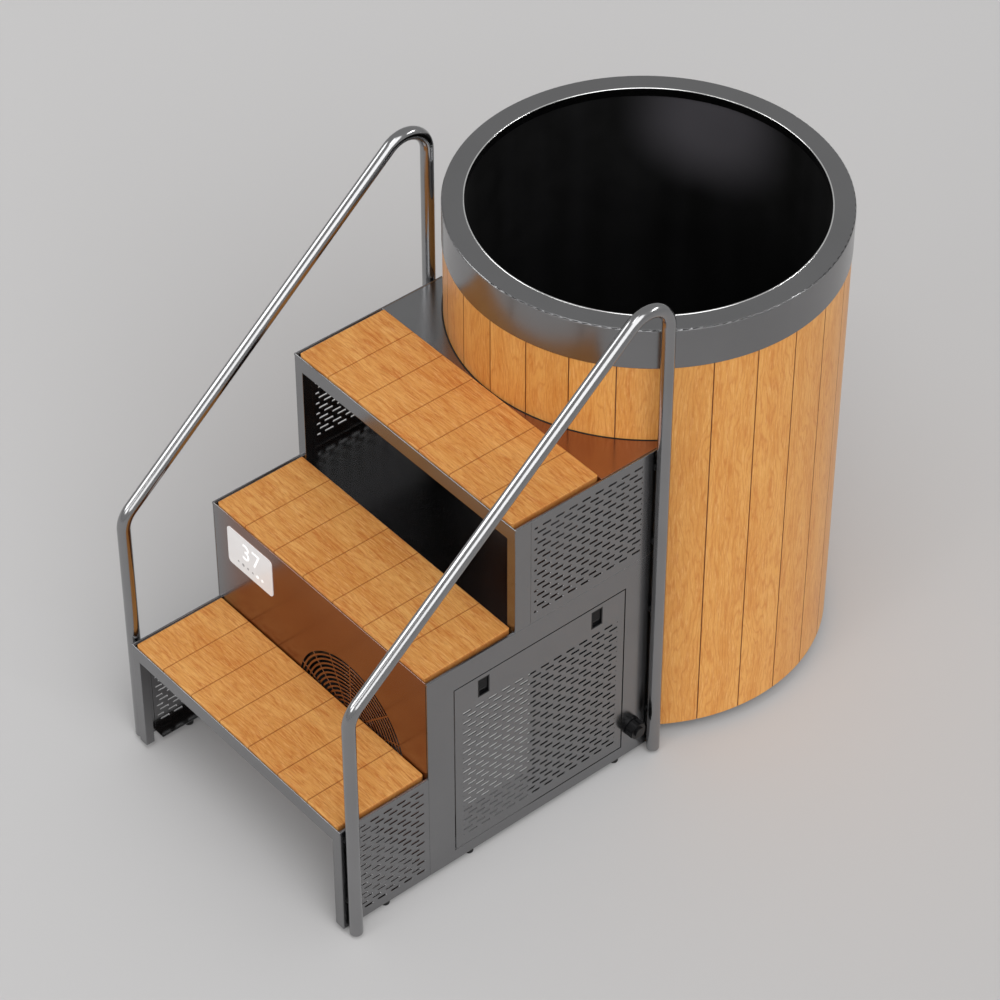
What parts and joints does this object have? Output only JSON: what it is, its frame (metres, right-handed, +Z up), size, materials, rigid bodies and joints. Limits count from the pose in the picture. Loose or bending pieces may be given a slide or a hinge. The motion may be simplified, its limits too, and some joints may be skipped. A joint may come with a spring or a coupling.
{
  "type": "cold plunge tub",
  "caption": "Round wooden-stave cold plunge tub with a steel rim, a perforated steel stair cabinet that holds the chiller, wooden treads and a tubular handrail on each side.",
  "frame": {"origin": "on the floor under the middle of the whole object's box", "axes": "+Z up, +Y the way up the stairs towards the tub, +X to the right of a person climbing"},
  "size_m": [0.8394, 1.5212, 1.2519],
  "materials": {
    "satin_steel": "satin",
    "oiled_wood": "oiled",
    "polished_steel": "polished",
    "zinc_steel": "zinc plated",
    "black_plastic": "fine texture",
    "black_liner": "gloss",
    "foam": "foam",
    "black_rubber": "matt",
    "white_glass_panel": "gloss",
    "white_paint": "powder coated",
    "black_paint": "semi gloss",
    "white_plastic": "moulded",
    "dark_plastic": "moulded",
    "bare_aluminium": "mill finish",
    "copper": "copper"
  },
  "bodies": {
    "tub_and_stairs": {"tub_staves": "oiled_wood", "rim_top": "satin_steel", "rim_band": "satin_steel", "liner_wall": "black_liner", "liner_floor": "black_liner", "tub_insulation": "foam", "tub_base": "black_plastic", "suction_fitting": "black_plastic", "return_fitting": "black_plastic", "tread_1": "oiled_wood", "tread_2": "oiled_wood", "tread_3": "oiled_wood", "step1_frame": "satin_steel", "step1_side_left": "satin_steel", "step1_side_right": "satin_steel", "step1_tray": "satin_steel", "cabinet_front": "satin_steel", "cabinet_side_left": "satin_steel", "cabinet_side_right": "satin_steel", "cabinet_back": "satin_steel", "cabinet_base": "satin_steel", "cabinet_top": "satin_steel", "step3_frame": "satin_steel", "step3_side_left": "satin_steel", "step3_side_right": "satin_steel", "deck": "satin_steel", "deck_seal": "black_rubber", "door_hinges": "zinc_steel", "control_panel": "white_glass_panel", "control_box": "black_plastic", "handrail_left": "polished_steel", "handrail_right": "polished_steel", "rail_caps": "polished_steel", "rail_spacers": "black_plastic", "rail_bolts": "black_paint", "rail_nuts": "zinc_steel", "rubber_feet": "black_rubber", "drain_fitting": "black_plastic", "drain_hose": "black_rubber", "suction_manifold": "black_plastic", "water_hoses": "black_rubber", "pump": "black_paint", "filter_housing": "black_plastic", "filter_cartridge": "white_plastic", "chiller_casing": "white_paint", "evaporator": "zinc_steel", "compressor": "black_paint", "condenser": "bare_aluminium", "refrigerant_pipes": "copper", "fan_shroud": "black_plastic", "fan_motor": "black_paint", "power_inlet": "black_plastic"},
    "access_door": {"access_door": "satin_steel", "latch_housings": "black_plastic"},
    "latch_left": {"latch_left": "black_plastic"},
    "latch_right": {"latch_right": "black_plastic"},
    "drain_cap": {"drain_cap": "black_plastic"},
    "filter_lid": {"filter_lid": "black_rubber"},
    "pump_impeller": {"pump_impeller": "white_plastic"},
    "fan": {"fan_blades": "dark_plastic"}
  },
  "joints": [
    {"name": "door_drop", "type": "hinge", "parent": "tub_and_stairs", "child": "access_door", "pos_m": [0.341, -0.23855, 0.054], "axis": [0, 1, 0], "range_deg": [0, 90]},
    {"name": "latch_left_slide", "type": "slide", "parent": "access_door", "child": "latch_left", "axis": [0, 0, -1], "range_m": [0, 0.006], "stiffness_N_per_m": 150, "springref_m": -0.004},
    {"name": "latch_right_slide", "type": "slide", "parent": "access_door", "child": "latch_right", "axis": [0, 0, -1], "range_m": [0, 0.006], "stiffness_N_per_m": 150, "springref_m": -0.004},
    {"name": "drain_cap_turn", "type": "hinge", "parent": "tub_and_stairs", "child": "drain_cap", "pos_m": [0.37, 0.01445, 0.095], "axis": [1, 0, 0], "continuous": true},
    {"name": "filter_lid_turn", "type": "hinge", "parent": "tub_and_stairs", "child": "filter_lid", "pos_m": [-0.195, -0.33055, 0.33], "axis": [0, 0, 1], "range_deg": [0, 90]},
    {"name": "pump_turn", "type": "hinge", "parent": "tub_and_stairs", "child": "pump_impeller", "pos_m": [-0.195, -0.16435, 0.11], "axis": [1, 0, 0], "continuous": true},
    {"name": "fan_turn", "type": "hinge", "parent": "tub_and_stairs", "child": "fan", "pos_m": [0.1, -0.49355, 0.26], "axis": [0, 1, 0], "continuous": true}
  ]
}
